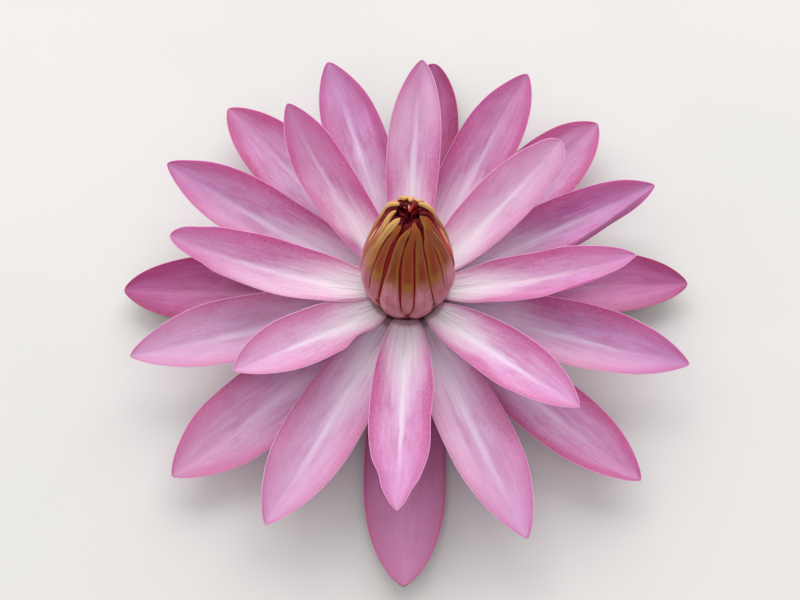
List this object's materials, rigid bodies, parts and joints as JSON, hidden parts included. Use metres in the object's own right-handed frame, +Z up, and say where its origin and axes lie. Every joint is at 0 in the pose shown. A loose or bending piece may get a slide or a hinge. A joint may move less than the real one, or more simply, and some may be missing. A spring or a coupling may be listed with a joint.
{
  "type": "water lily flower",
  "caption": "Open pink water lily bloom, often called a lotus flower: pointed petals in whorls round an upright cone of stamens, picked with its stalk cut close.",
  "frame": {"origin": "under the middle of the bloom, on the surface it lies on", "axes": "+Z up along the flower's axis, +Y from the picture's viewer towards the bloom's far side, +X to the viewer's right"},
  "size_m": [0.1976, 0.202, 0.0615],
  "materials": {
    "sepal": "satin",
    "outer_petal": "satin",
    "middle_petal": "satin",
    "inner_petal": "satin",
    "stamens": "satin",
    "receptacle": "matte"
  },
  "bodies": {
    "root": {"receptacle": "receptacle", "sepal_1": "sepal", "sepal_2": "sepal", "sepal_3": "sepal", "sepal_4": "sepal", "outer_petal_1": "outer_petal", "outer_petal_2": "outer_petal", "outer_petal_3": "outer_petal", "outer_petal_4": "outer_petal", "middle_petal_1": "middle_petal", "middle_petal_2": "middle_petal", "middle_petal_3": "middle_petal", "middle_petal_4": "middle_petal", "middle_petal_5": "middle_petal", "middle_petal_6": "middle_petal", "middle_petal_7": "middle_petal", "middle_petal_8": "middle_petal", "inner_petal_1": "inner_petal", "inner_petal_2": "inner_petal", "inner_petal_3": "inner_petal", "inner_petal_4": "inner_petal", "inner_petal_5": "inner_petal", "inner_petal_6": "inner_petal", "inner_petal_7": "inner_petal", "inner_petal_8": "inner_petal", "stamens": "stamens"}
  },
  "joints": []
}
